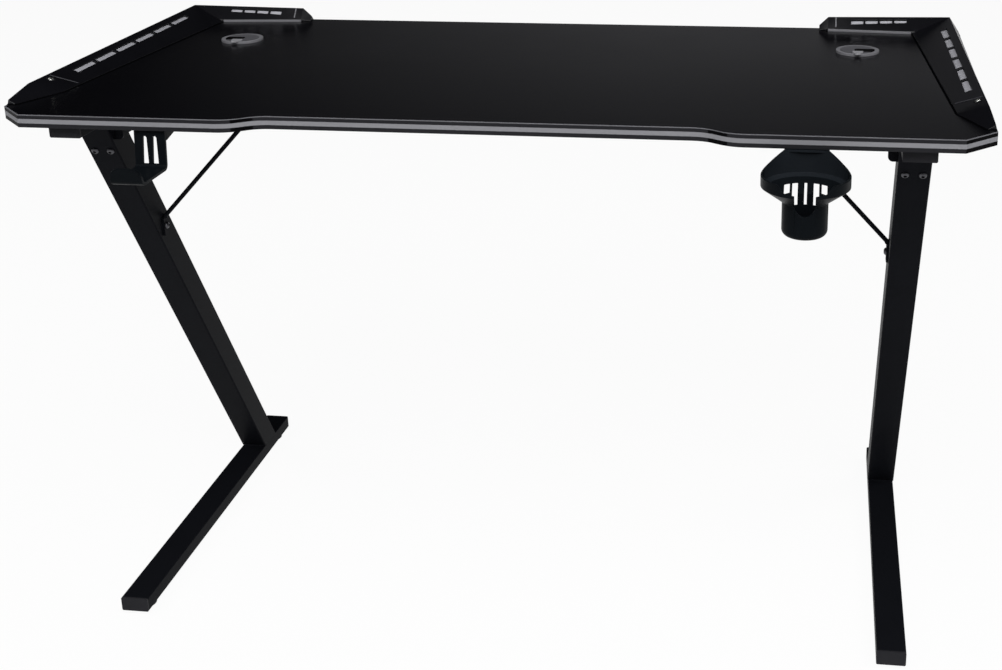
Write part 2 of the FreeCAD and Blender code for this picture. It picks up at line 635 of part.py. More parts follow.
# Tubes of the leg frames
def level_tube(label, x, z, width, high, front, rear):
    """A rectangular tube along Y with open ends."""
    part = new_body(label)
    section = sketch(part, "XZ_Plane", front)
    rectangle(section, f"{x} - {width} / 2", f"{x} + {width} / 2", z, f"{z} + {high}")
    rectangle(section, f"{x} - {width} / 2 + tube_wall", f"{x} + {width} / 2 - tube_wall",
              f"{z} + tube_wall", f"{z} + {high} - tube_wall")
    tube = extrude(part, section, f"{front} + {rear}", flip=True)
    soften(part, tube, "tube_round", outer_edges(tube.Shape))
    return part


def sloping_tube(label, gap, wall, low):
    """A tube down the leg's slope from the rail to a level, drawn in by a gap on every side."""
    part = new_body(label)
    lean = "(leg_run / leg_rise)"

    def side_view(level, inset):
        return f"((rail_low - {level}) * {lean} - leg_top_out + {inset} * leg_stretch)"

    def far_view(level, inset):
        return f"({side_view(level, '0')} + leg_depth - {inset} * leg_stretch)"

    for inset, kind in ((gap, "Pad"), (f"({gap} + {wall})", "Pocket")):
        view = sketch(part, "YZ_Plane", f"leg_inside + {inset}")
        outline(view, [(side_view("rail_low", inset), "rail_low"), (side_view(low, inset), low),
                       (far_view(low, inset), low), (far_view("rail_low", inset), "rail_low")])
        tube = extrude(part, view, f"leg_width - 2 * {inset}", kind, flip=kind == "Pocket")
    soften(part, tube, "tube_round", outer_edges(tube.Shape, shortest=2 * num("leg_depth")))
    return part


def end_cap(label, x, z, width, high, front):
    """A push-in cap: a flange outside the tube's end and a hollow plug inside it."""
    part = new_body(label)
    out = "" if front.startswith("-") else "-"
    flange = rectangle(sketch(part, "XZ_Plane", f"-({front})"),
                       f"{x} - {width} / 2", f"{x} + {width} / 2", z, f"{z} + {high}")
    plate = extrude(part, flange, "cap_flange", flip=out == "-")
    soften(part, plate, "tube_round", outer_edges(plate.Shape))
    inset = "(tube_wall + cap_gap)"
    plug = sketch(part, "XZ_Plane", f"-({front})")
    for step in (inset, f"({inset} + cap_wall)"):
        rectangle(plug, f"{x} - {width} / 2 + {step}", f"{x} + {width} / 2 - {step}",
                  f"{z} + {step}", f"{z} + {high} - {step}")
    extrude(part, plug, "cap_plug", flip=out == "")
    return part


rail = level_tube("rail_blank", "leg_x", "rail_low", "leg_width", "rail_high", "rail_half", "rail_half")
pair(drilled(rail, rail_tools + bar_tools + bracket_tools[:1], "top_rail"), "top_rail")
leg = sloping_tube("leg_blank", "0", "tube_wall", "foot_top")
pair(drilled(leg, leg_tools + bracket_tools[1:] + [brace_low_tool], "leg"), "leg")
stub = sloping_tube("stub_blank", "(tube_wall + stub_gap)", "stub_wall", "(rail_low - stub_long)")
pair(drilled(stub, leg_tools + bracket_tools[1:], "leg_insert"), "leg_insert")
foot = level_tube("foot_blank", "leg_x", "leveller_high", "foot_width", "foot_high", "foot_front", "foot_rear")
leveller_spots = {"front": "leveller_setback - foot_front", "rear": "foot_rear - leveller_setback"}
sleeve_holes = []
for where, y in leveller_spots.items():
    tool = simple("Cylinder", where + "_sleeve_hole", Radius="sleeve_r + sleeve_gap", Height="tube_wall")
    place(tool, "leg_x", y, "leveller_high")
    sleeve_holes.append(tool)
pair(drilled(foot, sleeve_holes, "foot"), "foot")
for tube, width, high, z, ends in (
        ("rail", "leg_width", "rail_high", "rail_low", ("-rail_half", "rail_half")),
        ("foot", "foot_width", "foot_high", "leveller_high", ("-foot_front", "foot_rear"))):
    for where, y in zip(("front", "rear"), ends):
        pair(end_cap(f"{tube}_{where}_cap", "leg_x", z, width, high, y), f"{tube}_{where}_cap")

# Corner brackets: an angle on the inner side of the leg's top, with a rounded lower corner
bracket = new_body("bracket_blank")
angle = outline(sketch(bracket, "XY_Plane", "rail_low - bracket_low"), [
    ("leg_inside", "-bracket_front"), ("leg_inside", "bracket_long - bracket_front"),
    ("leg_inside - bracket_thick", "bracket_long - bracket_front"),
    ("leg_inside - bracket_thick", "bracket_thick - bracket_front"),
    ("leg_inside - bracket_wing", "bracket_thick - bracket_front"),
    ("leg_inside - bracket_wing", "-bracket_front")])
plate = extrude(bracket, angle, "bracket_high")
corner = FreeCAD.Vector(num("leg_inside - bracket_wing"), 0, num("rail_low - bracket_low"))
soften(bracket, plate, "bracket_wing / 2", lambda edge: all(
    abs(v.X - corner.x) < 0.01 and abs(v.Z - corner.z) < 0.01 for v in edge.Vertexes))
pair(drilled(bracket, bracket_tools, "corner_bracket"), "corner_bracket")


# Crossbars: tubes with welded end plates, bolted between the rails
def crossbar(label, middle, tools):
    part = new_body(label + "_blank")
    inner = "(leg_inside - bar_plate)"
    section = sketch(part, "YZ_Plane", f"-{inner}")
    rectangle(section, f"{middle} - bar_deep / 2", f"{middle} + bar_deep / 2", "rail_low", "under")
    rectangle(section, f"{middle} - bar_deep / 2 + tube_wall", f"{middle} + bar_deep / 2 - tube_wall",
              "rail_low + tube_wall", "under - tube_wall")
    extrude(part, section, f"2 * {inner}")
    for lift, flip in ((inner, False), (f"-{inner}", True)):
        end = rectangle(sketch(part, "YZ_Plane", lift),
                        f"{middle} - bar_plate_long / 2", f"{middle} + bar_plate_long / 2", "rail_low", "under")
        extrude(part, end, "bar_plate", flip=flip)
    keep(drilled(part, with_mirror(tools, label + "_drills"), label), label)


crossbar("front_crossbar", "(-bar_front)", bar_tools[:2] + bar_screw_tools[:1] + [brace_top_tool])
crossbar("rear_crossbar", "bar_rear", bar_tools[2:] + bar_screw_tools[1:])

# Braces: a round rod between two flattened ends, one on the leg and one under the front crossbar
low_strap = simple("Box", "brace_low_strap", Length="strap_thick", Width="strap_wide", Height="strap_long")
place(low_strap, "leg_inside - strap_thick", "-bar_front - strap_wide / 2", "brace_low - strap_long / 2")
top_strap = simple("Box", "brace_top_strap", Length="strap_long", Width="strap_wide", Height="strap_thick")
place(top_strap, "brace_top_x - strap_long", "-bar_front - strap_wide / 2", "rail_low - strap_thick")
rod_rise = "(rail_low - strap_thick / 2 - brace_low - strap_long / 2)"
rod_run = "(leg_inside - strap_thick / 2 - brace_top_x)"
rod = simple("Cylinder", "brace_rod", Radius="rod_r", Height=f"sqrt({rod_rise}^2 + {rod_run}^2)")
place(rod, "leg_inside - strap_thick / 2", "-bar_front", "brace_low + strap_long / 2",
      axis=(0, 1, 0), angle=f"-atan({rod_run} / {rod_rise})")
knuckles = []
for where, x, z in (("low", "leg_inside - strap_thick / 2", "brace_low + strap_long / 2"),
                    ("top", "brace_top_x", "rail_low - strap_thick / 2")):
    knuckle = simple("Sphere", f"brace_{where}_knuckle", Radius="rod_r * 1.3")
    place(knuckle, x, "-bar_front", z)
    knuckles.append(knuckle)
trimmed = doc.addObject("Part::Cut", "brace_trimmed")
trimmed.Base = fused("brace_blank", [low_strap, rod, top_strap] + knuckles)
beyond_leg = simple("Box", "brace_limit_leg", Length="leg_width", Width="leg_width", Height="top_height")
place(beyond_leg, "leg_inside", "-bar_front - leg_width / 2", "0")
beyond_bar = simple("Box", "brace_limit_bar", Length="leg_x", Width="leg_width", Height="rail_high")
place(beyond_bar, "0", "-bar_front - leg_width / 2", "rail_low")
trimmed.Tool = fused("brace_limits", [beyond_leg, beyond_bar])
pair(drilled(trimmed, [brace_low_tool, brace_top_tool], "brace"), "brace")

# Levelling feet: a pad with a stud that runs in a threaded sleeve in the foot tube
sleeves = []
for where, y in leveller_spots.items():
    leveller = new_body(where + "_leveller", "leg_x", y)
    pad = extrude(leveller, circle(sketch(leveller, "XY_Plane"), "0", "0", "leveller_r"), "leveller_high")
    soften(leveller, pad, "leveller_edge", lambda edge: True, "Chamfer")
    stud = circle(sketch(leveller, "XY_Plane", "leveller_high"), "0", "0", "stud_r")
    extrude(leveller, stud, "stud_long")
    pair(leveller, where + "_leveller")
    sleeve = new_body(where + "_sleeve", "leg_x", y)
    barrel = sketch(sleeve, "XY_Plane", "leveller_high")
    collar = sketch(sleeve, "XY_Plane", "leveller_high + tube_wall")
    for view, r in ((barrel, "sleeve_r"), (collar, "sleeve_flange")):
        circle(view, "0", "0", r)
        circle(view, "0", "0", "stud_r + stud_fit")
    extrude(sleeve, barrel, "sleeve_high")
    extrude(sleeve, collar, "sleeve_lip")
    sleeves.append(sleeve)
both_sides(sleeves, "leveller_inserts")

# Cup holder: a funnel turned about the cup's axis, its back wall rising to a flange under the board
cup = new_body("cup_blank", "cup_x", "-cup_out", "under")
wall = outline(sketch(cup, "XZ_Plane"), [
    ("0", "-cup_high"), ("cup_r", "-cup_high"), ("cup_r", "-cone_low"), ("ring_r", "-band_low"), ("ring_r", "0"),
    ("ring_r - cup_wall", "0"), ("ring_r - cup_wall", "cup_wall / 2 - band_low"),
    ("cup_r - cup_wall", "cup_wall / 2 - cone_low"), ("cup_r - cup_wall", "cup_wall - cup_high"),
    ("0", "cup_wall - cup_high")])
funnel = cup.newObject("PartDesign::Revolution", "cup_funnel")
funnel.Profile = wall
funnel.ReferenceAxis = (wall, ["V_Axis"])
doc.recompute()
base = funnel
for r, level, rounding in (("cup_r", "-cup_high", "cup_round"),
                           ("cup_r - cup_wall", "cup_wall - cup_high", "cup_round - cup_wall")):
    rim_r, rim_z = num(r), num(level)
    base = soften(cup, base, rounding, lambda edge: abs(edge.BoundBox.ZMax - rim_z) < 0.01
                  and abs(edge.BoundBox.XMax - rim_r) < 0.01)
front_view = sketch(cup, "XZ_Plane")
rectangle(front_view, "-2 * ring_r", "2 * ring_r", "-rim_low", "ring_r")
extrude(cup, front_view, "2 * ring_r", "Pocket", flip=True)
shoulders = sketch(cup, "XZ_Plane")
for side in ("", "-"):
    outline(shoulders, [
        (f"{side}shield_top", "0"), (f"{side}shield_low", "-shield_turn"), (f"{side}ring_r", "-rim_low"),
        (f"{side}2 * ring_r", "-rim_low"), (f"{side}2 * ring_r", "ring_r"), (f"{side}shield_top", "ring_r")])
extrude(cup, shoulders, "2 * ring_r", "Pocket")
handle = outline(sketch(cup, "XZ_Plane"), [
    ("-cup_notch_top", "0"), ("-cup_notch_top", "-rim_low"), ("-cup_notch_mid", "-cup_notch_turn"),
    ("-cup_notch_half", "-cup_notch_neck"), ("-cup_notch_half", "-cup_notch_deep"),
    ("0", "-cup_notch_deep - cup_notch_half"),
    ("cup_notch_half", "-cup_notch_deep"), ("cup_notch_half", "-cup_notch_neck"),
    ("cup_notch_mid", "-cup_notch_turn"), ("cup_notch_top", "-rim_low"), ("cup_notch_top", "0")],
    arcs={4: "0", 5: "0"})
extrude(cup, handle, "2 * ring_r", "Pocket", flip=True)
vents = sketch(cup, "XZ_Plane")
for middle, wide, low in (("-cup_slot_far", "cup_slot_wide", "cup_slot_short"),
                          ("-cup_slot_near", "cup_slot_wide", "cup_slot_low"),
                          ("0", "cup_slot_thin", "cup_slot_low"),
                          ("cup_slot_near", "cup_slot_wide", "cup_slot_low"),
                          ("cup_slot_far", "cup_slot_wide", "cup_slot_short")):
    rectangle(vents, f"{middle} - {wide} / 2", f"{middle} + {wide} / 2", f"-{low}", "-cup_slot_top")
extrude(cup, vents, "2 * ring_r", "Pocket")
flange = sketch(cup, "XY_Plane", "-flange_thick")
rectangle(flange, "-shield_top", "shield_top", "sqrt(ring_r^2 - shield_top^2)", "cup_reach + flange_lap")
extrude(cup, flange, "flange_thick")
keep(drilled(cup, cup_tools, "cup_holder"), "cup_holder")

# Headphone hook: a slotted plate, a tray toward the user with a raised lip, and a ribbed flange
hook = new_body("hook_blank", "-hook_x", "-hook_face", "under")
side = outline(sketch(hook, "YZ_Plane", "-hook_wide / 2"), [
    ("hook_back", "0"), ("0", "0"), ("-hook_tilt", "hook_thick - hook_high"),
    ("hook_thick - hook_reach", "hook_thick - hook_high"),
    ("-hook_reach - hook_lean + hook_thick", "hook_lip - hook_high"),
    ("-hook_reach - hook_lean", "hook_lip - hook_high"), ("-hook_reach", "-hook_high"),
    ("hook_thick - hook_tilt", "-hook_high"), ("hook_thick", "-hook_thick"), ("hook_back", "-hook_thick")])
bent = extrude(hook, side, "hook_wide")
lip_top = num("hook_lip - hook_high")
bent = soften(hook, bent, "hook_corner", lambda edge: all(abs(v.Z - lip_top) < 0.01 for v in edge.Vertexes)
              and abs(edge.Vertexes[0].X - edge.Vertexes[-1].X) < 0.01)
outer = [(num(y), num("-hook_high")) for y in ("-hook_reach", "hook_thick - hook_tilt")]
inner = [(num(y), num("hook_thick - hook_high")) for y in ("-hook_tilt", "hook_thick - hook_reach")]


def bend_edges(corners):
    def chosen(edge):
        return any(all(abs(v.Y - y) < 0.01 and abs(v.Z - z) < 0.01 for v in edge.Vertexes) for y, z in corners)
    return chosen


bent = soften(hook, bent, "hook_bend", bend_edges(outer))
bent = soften(hook, bent, "hook_bend - hook_thick", bend_edges(inner))
gaps = sketch(hook, "XZ_Plane", "hook_tilt")
for step in ("-", ""):
    middle = f"{step}hook_slot_pitch / 2"
    shoulder = "-hook_slot_top - hook_slot_wide / 2"
    outline(gaps, [(f"{middle} - hook_slot_wide / 2", shoulder), (middle, "-hook_slot_top"),
                   (f"{middle} + hook_slot_wide / 2", shoulder),
                   (f"{middle} + hook_slot_foot / 2", "-hook_slot_low"),
                   (f"{middle} - hook_slot_foot / 2", "-hook_slot_low")], arcs={0: middle, 1: middle})
extrude(hook, gaps, "hook_thick + hook_tilt", "Pocket")
for start in ("-hook_wide / 2", "hook_wide / 2 - hook_thick"):
    rib = outline(sketch(hook, "YZ_Plane", start), [
        ("hook_thick", "-hook_thick"), ("hook_back", "-hook_thick"), ("hook_thick", "-hook_thick - hook_rib")])
    extrude(hook, rib, "hook_thick")
keep(drilled(hook, hook_tools, "headphone_hook"), "headphone_hook")

both_sides(leg_bolts, "leg_bolts")
both_sides(bar_bolts, "crossbar_bolts")
both_sides(bracket_bolts, "bracket_bolts")
both_sides([brace_low_bolt, brace_top_bolt], "brace_bolts")
both_sides(rail_screws + bar_screws, "frame_screws")
keep(group("cup_holder_screws", cup_screws), "cup_holder_screws")
keep(group("hook_screws", hook_screws), "hook_screws")

doc.removeObject(trial.Name)
doc.recompute()
for thing in doc.Objects:
    if "Invalid" in thing.State or "Error" in thing.State:
        raise RuntimeError(f"{thing.Label} did not build: {thing.State}")
os.makedirs("parts", exist_ok=True)
for node in nodes:
    if node.Shape.isNull() or not node.Shape.isValid():
        raise RuntimeError(f"{node.Label} has no valid shape")
    node.Shape.exportStep(f"parts/{node.Label}.step")
print(len(nodes), "nodes written")
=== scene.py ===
"""Gaming desk: its finishes, fastener heads, wing joints, weld beads and grommet caps, on a pale floor."""

import math

import bmesh
import bpy
from mathutils import Matrix, Vector
from mathutils.bvhtree import BVHTree


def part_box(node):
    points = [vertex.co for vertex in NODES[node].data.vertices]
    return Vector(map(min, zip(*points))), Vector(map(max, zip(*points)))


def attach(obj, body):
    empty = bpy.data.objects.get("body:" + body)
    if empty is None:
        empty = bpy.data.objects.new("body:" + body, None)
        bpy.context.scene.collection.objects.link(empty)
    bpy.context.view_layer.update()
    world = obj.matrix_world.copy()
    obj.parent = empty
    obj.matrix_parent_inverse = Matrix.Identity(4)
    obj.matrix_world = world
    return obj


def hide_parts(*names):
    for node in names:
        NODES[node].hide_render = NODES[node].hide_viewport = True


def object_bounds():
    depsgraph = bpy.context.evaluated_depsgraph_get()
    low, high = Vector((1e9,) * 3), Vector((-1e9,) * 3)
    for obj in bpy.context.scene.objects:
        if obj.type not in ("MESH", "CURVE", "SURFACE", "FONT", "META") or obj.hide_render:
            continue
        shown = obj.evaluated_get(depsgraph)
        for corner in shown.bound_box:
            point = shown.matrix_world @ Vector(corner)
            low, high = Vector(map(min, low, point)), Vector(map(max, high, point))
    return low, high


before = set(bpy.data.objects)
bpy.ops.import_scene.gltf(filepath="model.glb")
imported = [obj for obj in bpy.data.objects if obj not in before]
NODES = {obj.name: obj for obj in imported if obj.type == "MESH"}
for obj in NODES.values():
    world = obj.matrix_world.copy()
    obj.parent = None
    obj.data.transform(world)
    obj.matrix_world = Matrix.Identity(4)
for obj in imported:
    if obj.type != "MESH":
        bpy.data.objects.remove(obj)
CAD_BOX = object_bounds()
# Which way each side of the desk lies along X
HANDS = {"left": -1, "right": 1}
MM = 0.001
SAME_POINT = 0.005 * MM
SAME_LEVEL = 0.01 * MM


# Small tools


def linear(colour):
    """An sRGB hex colour as linear red, green, blue and alpha."""
    shares = [int(colour[i:i + 2], 16) / 255 for i in (1, 3, 5)]
    return [c / 12.92 if c <= 0.04045 else ((c + 0.055) / 1.055) ** 2.4 for c in shares] + [1.0]


def per_mm(size):
    """Texture scale at which one feature of the pattern is that many millimetres across."""
    return 1 / (size * MM)


def add(tree, kind, inputs=None, **settings):
    """A node of that kind in the tree, with its settings, and its inputs linked or set."""
    node = tree.nodes.new(kind)
    for name, value in settings.items():
        setattr(node, name, value)
    for name, value in (inputs or {}).items():
        if isinstance(value, bpy.types.NodeSocket):
            tree.links.new(value, node.inputs[name])
        else:
            node.inputs[name].default_value = value
    return node


def new_finish(name):
    """An empty material, its node tree and the socket that gives a point's place in metres."""
    material = bpy.data.materials.new(name)
    material.use_nodes = True
    tree = material.node_tree
    tree.nodes.clear()
    return material, tree, add(tree, "ShaderNodeTexCoord").outputs["Object"]


def ray_is(tree, *kinds):
    """A socket that is 1 for a ray of any of those kinds and 0 for other rays."""
    path = add(tree, "ShaderNodeLightPath").outputs
    found = path[kinds[0]]
    for kind in kinds[1:]:
        found = add(tree, "ShaderNodeMath", {0: found, 1: path[kind]}, operation="MAXIMUM").outputs["Value"]
    return found


# Finishes, with the sizes of their patterns in millimetres

PEBBLE = 1.4
PEBBLE_DEEP = 0.05
SMEAR = 160


def pebbled_laminate():
    """Melamine laminate pressed on a fine pebble plate: near black, with a soft sheen at a low angle."""
    material, tree, place = new_finish("melamine_laminate_pebbled")
    # Real pebbles are about 0.3 mm across; they are drawn coarser so that they show.
    pebbles = add(tree, "ShaderNodeTexVoronoi", {"Vector": place, "Scale": per_mm(PEBBLE)},
                  feature="SMOOTH_F1")
    smears = add(tree, "ShaderNodeTexNoise", {"Vector": place, "Scale": per_mm(SMEAR), "Detail": 3.0})
    gloss = add(tree, "ShaderNodeMapRange", {"Value": smears.outputs["Fac"], "To Min": 0.2, "To Max": 0.27})
    tint = add(tree, "ShaderNodeMix", {"Factor": pebbles.outputs["Distance"], "A": linear("#060608"),
                                       "B": linear("#0c0c0f")}, data_type="RGBA")
    bumps = add(tree, "ShaderNodeBump", {"Height": pebbles.outputs["Distance"], "Strength": 0.12,
                                         "Distance": PEBBLE_DEEP * MM})
    shader = add(tree, "ShaderNodeBsdfPrincipled", {
        "Base Color": tint.outputs["Result"], "Roughness": gloss.outputs["Result"], "IOR": 1.5,
        "Specular IOR Level": 0.3, "Normal": bumps.outputs["Normal"]})
    add(tree, "ShaderNodeOutputMaterial", {"Surface": shader.outputs["BSDF"]})
    return material


STRIPE_FOOT = 5.2
STRIPE_TOP = 10.7
ARRIS_FOOT = 15.0
STRIPE_GREY = "#808084"
# The arris's grey is a painted highlight along the band's upper edge.
ARRIS_HIGHLIGHT = "#626266"
DRAG_MARK = 2.5


def striped_edge_band(name, lane, specular):
    """Co-extruded PVC band: dark lanes, one pale grey stripe along its middle and a painted highlight along
    its upper arris.
    """
    material, tree, place = new_finish(name)
    low, high = (corner.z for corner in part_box("edge_band"))
    height = add(tree, "ShaderNodeSeparateXYZ", {"Vector": place}).outputs["Z"]
    share = add(tree, "ShaderNodeMapRange", {"Value": height, "From Min": low, "From Max": high})
    stripes = add(tree, "ShaderNodeValToRGB", {"Fac": share.outputs["Result"]})
    stripes.color_ramp.interpolation = "CONSTANT"
    steps = [(0.0, lane), (STRIPE_FOOT, STRIPE_GREY), (STRIPE_TOP, lane), (ARRIS_FOOT, ARRIS_HIGHLIGHT)]
    thickness = (high - low) / MM
    while len(stripes.color_ramp.elements) < len(steps):
        stripes.color_ramp.elements.new(1.0)
    for stop, (up, colour) in zip(stripes.color_ramp.elements, steps):
        stop.position = up / thickness
        stop.color = linear(colour)
    drag = add(tree, "ShaderNodeTexNoise", {"Vector": place, "Scale": per_mm(DRAG_MARK), "Detail": 2.0})
    gloss = add(tree, "ShaderNodeMapRange", {"Value": drag.outputs["Fac"], "To Min": 0.34, "To Max": 0.5})
    shader = add(tree, "ShaderNodeBsdfPrincipled", {
        "Base Color": stripes.outputs["Color"], "Roughness": gloss.outputs["Result"], "IOR": 1.53,
        "Specular IOR Level": specular})
    add(tree, "ShaderNodeOutputMaterial", {"Surface": shader.outputs["BSDF"]})
    return material


FLOW_MARK = 45
GRAIN_DEEP = 0.05
GRAIN_GLOSS = 0.06


def moulded_plastic(name, dark, light, grain, roughness, relief, ior=1.54, specular=0.3):
    """Injection-moulded plastic from a spark-eroded tool: even colour, fine grain, soft highlights."""
    material, tree, place = new_finish(name)
    # Real spark-eroded grain is about 0.1 mm across; it is drawn coarser so that it shows.
    pits = add(tree, "ShaderNodeTexNoise", {"Vector": place, "Scale": per_mm(grain), "Detail": 3.0})
    flow = add(tree, "ShaderNodeTexNoise", {"Vector": place, "Scale": per_mm(FLOW_MARK), "Detail": 2.0})
    tint = add(tree, "ShaderNodeMix", {"Factor": flow.outputs["Fac"], "A": linear(dark),
                                       "B": linear(light)}, data_type="RGBA")
    gloss = add(tree, "ShaderNodeMapRange", {"Value": pits.outputs["Fac"],
                                             "To Min": roughness - GRAIN_GLOSS,
                                             "To Max": roughness + GRAIN_GLOSS})
    bumps = add(tree, "ShaderNodeBump", {"Height": pits.outputs["Fac"], "Strength": relief,
                                         "Distance": GRAIN_DEEP * MM})
    shader = add(tree, "ShaderNodeBsdfPrincipled", {
        "Base Color": tint.outputs["Result"], "Roughness": gloss.outputs["Result"], "IOR": ior,
        "Specular IOR Level": specular, "Normal": bumps.outputs["Normal"]})
    add(tree, "ShaderNodeOutputMaterial", {"Surface": shader.outputs["BSDF"]})
    return material


LAMP_BAND = 209.86
LAMP_LEVEL = 0.8
# A diagonal wave repeats after this share of its scale.
WAVE_TURN = 2 * math.pi / 10


def led_film():
    """White solder-masked film with phosphor-yellow lamps: pale, with warm bands along it."""
    material, tree, place = new_finish("led_film_solder_masked")
    # Real lamps stand about 17 mm apart; they are drawn as far coarser bands so that they show.
    lamps = add(tree, "ShaderNodeTexWave", {"Vector": place, "Scale": WAVE_TURN * per_mm(LAMP_BAND)},
                bands_direction="DIAGONAL")
    lit = add(tree, "ShaderNodeMath", {0: lamps.outputs["Fac"], 1: LAMP_LEVEL}, operation="GREATER_THAN")
    tint = add(tree, "ShaderNodeMix", {"Factor": lit.outputs["Value"], "A": linear("#e4e2dc"),
                                       "B": linear("#d9c46a")}, data_type="RGBA")
    shader = add(tree, "ShaderNodeBsdfPrincipled", {
        "Base Color": tint.outputs["Result"], "Roughness": 0.45})
    add(tree, "ShaderNodeOutputMaterial", {"Surface": shader.outputs["BSDF"]})
    return material


ORANGE_PEEL = 2
PEEL_DEEP = 0.06
POWDER_DRIFT = 70


def powder_coat():
    """Black polyester powder coat baked on steel tube: slight orange peel and a low, broad sheen."""
    material, tree, place = new_finish("polyester_powder_coat_baked")
    # Real orange peel is about 1 mm across; it is drawn coarser so that it shows.
    peel = add(tree, "ShaderNodeTexNoise", {"Vector": place, "Scale": per_mm(ORANGE_PEEL), "Detail": 2.0})
    drift = add(tree, "ShaderNodeTexNoise", {"Vector": place, "Scale": per_mm(POWDER_DRIFT), "Detail": 2.0})
    tint = add(tree, "ShaderNodeMix", {"Factor": drift.outputs["Fac"], "A": linear("#101114"),
                                       "B": linear("#141519")}, data_type="RGBA")
    gloss = add(tree, "ShaderNodeMapRange", {"Value": peel.outputs["Fac"], "To Min": 0.36, "To Max": 0.48})
    bumps = add(tree, "ShaderNodeBump", {"Height": peel.outputs["Fac"], "Strength": 0.2,
                                         "Distance": PEEL_DEEP * MM})
    shader = add(tree, "ShaderNodeBsdfPrincipled", {
        "Base Color": tint.outputs["Result"], "Roughness": gloss.outputs["Result"], "IOR": 1.5,
        "Specular IOR Level": 0.015, "Normal": bumps.outputs["Normal"]})
    add(tree, "ShaderNodeOutputMaterial", {"Surface": shader.outputs["BSDF"]})
    return material


BATH_PATCH = 3
BATH_GLOSS = 0.07


def plated_steel(name, dark, light, roughness):
    """Turned or rolled steel with a thin plating: metal gloss, broken by faint patches of the bath."""
    material, tree, place = new_finish(name)
    patches = add(tree, "ShaderNodeTexNoise", {"Vector": place, "Scale": per_mm(BATH_PATCH), "Detail": 3.0})
    tint = add(tree, "ShaderNodeMix", {"Factor": patches.outputs["Fac"], "A": linear(dark),
                                       "B": linear(light)}, data_type="RGBA")
    gloss = add(tree, "ShaderNodeMapRange", {"Value": patches.outputs["Fac"],
                                             "To Min": roughness - BATH_GLOSS,
                                             "To Max": roughness + BATH_GLOSS})
    shader = add(tree, "ShaderNodeBsdfPrincipled", {
        "Base Color": tint.outputs["Result"], "Metallic": 1.0, "Roughness": gloss.outputs["Result"]})
    add(tree, "ShaderNodeOutputMaterial", {"Surface": shader.outputs["BSDF"]})
    return material


FINISHES = {
    "black_laminate": pebbled_laminate(),
    # Black lanes with one pale grey line between them
    "edge_band_pvc": striped_edge_band("pvc_edge_band_co_extruded", lane="#060607", specular=0.015),
    # Bluish black shells, with slopes that turn softly paler towards the light
    "wing_abs": moulded_plastic("abs_wing_moulded", "#08080b", "#0e0e12",
                                grain=1.2, roughness=0.34, relief=0.15),
    # Milky panes that look pale grey while the lights behind them are off
    "diffuser_plastic": moulded_plastic("polycarbonate_opal_moulded", "#9a9aa0", "#a8a8ae",
                                        grain=1.5, roughness=0.35, relief=0.08, ior=1.58),
    "led_strip_film": led_film(),
    # Mid-grey rings that stand out on the black top
    "grey_abs": moulded_plastic("abs_grey_moulded", "#6a6a6e", "#747478",
                                grain=1.0, roughness=0.42, relief=0.15),
    "powder_coated_steel": powder_coat(),
    # Plugs that look greyer and duller than the tubes that they close
    "cap_plastic": moulded_plastic("polypropylene_cap_moulded", "#222225", "#2b2b2e",
                                   grain=1.0, roughness=0.45, relief=0.2, ior=1.49, specular=0.05),
    # Dull black pads with faint highlights
    "pad_plastic": moulded_plastic("nylon_pad_moulded", "#111113", "#181819",
                                   grain=1.0, roughness=0.5, relief=0.2, ior=1.53, specular=0.2),
    # Bright silvery metal with a soft gloss
    "zinc_steel": plated_steel("steel_zinc_plated", "#a9aaa6", "#c6c7c2", roughness=0.34),
    # Dark metal whose domes catch small highlights
    "black_bolt_steel": plated_steel("steel_black_oxide", "#3f3f42", "#5c5c60", roughness=0.36),
    # Cool near-black with almost no sheen
    "accessory_abs": moulded_plastic("abs_accessory_moulded", "#0a0c0f", "#0e1215",
                                     grain=1.2, roughness=0.34, relief=0.15, specular=0.02),
}
# A light line along the foot of each rear arm, and at the joint on its ridge, where the pale grey is a
# painted highlight
TRIM_AND_HIGHLIGHT_FINISH = moulded_plastic("abs_trim_and_painted_highlight", "#68686c", "#747478",
                              grain=1.0, roughness=0.4, relief=0.1)
# Caps that look darker than the rings round them
CAP_FINISH = moulded_plastic("abs_dark_grey_moulded", "#4a4a4e", "#545458",
                             grain=1.0, roughness=0.42, relief=0.15)
# Tabs paler and smoother than their caps
TAB_FINISH = moulded_plastic("abs_tab_pale", "#88888c", "#949498",
                             grain=1.0, roughness=0.36, relief=0.08)
# Painted shade: near black on the walls of the grommets' bores, ledges and notches, so that they look like
# a dark hole
PAINTED_SHADE_FINISH = moulded_plastic("abs_grey_painted_shade", "#060607", "#0b0b0c",
                               grain=0.8, roughness=0.7, relief=0.4, specular=0.05)
# A painted highlight: the seam's lip is grey, which draws a thin line across the black wing
SEAM_HIGHLIGHT_FINISH = moulded_plastic("abs_seam_painted_highlight", "#2c2c31", "#3a3a40",
                                grain=1.0, roughness=0.4, relief=0.1)
# Painted light: the shield's faces that look to the front are paler than the rest of the cup holder
SHIELD_PAINTED_LIGHT = moulded_plastic("abs_accessory_painted_light", "#171a1e", "#1f2327",
                                grain=0.9, roughness=0.42, relief=0.25, specular=0.02)
# Painted light: the front run's lanes are dark grey rather than black, and a little glossier
FRONT_RUN_PAINTED_LIGHT = striped_edge_band("pvc_edge_band_painted_light", lane="#1f1f22", specular=0.08)
# A painted shadow: a black strip without sheen, which draws a dark line along the foot of each wing
FOOT_SHADOW_FINISH = moulded_plastic("abs_black_painted_shadow", "#030304", "#060607",
                              grain=0.8, roughness=0.8, relief=0.3, specular=0.0)


# CAD nodes in their finishes

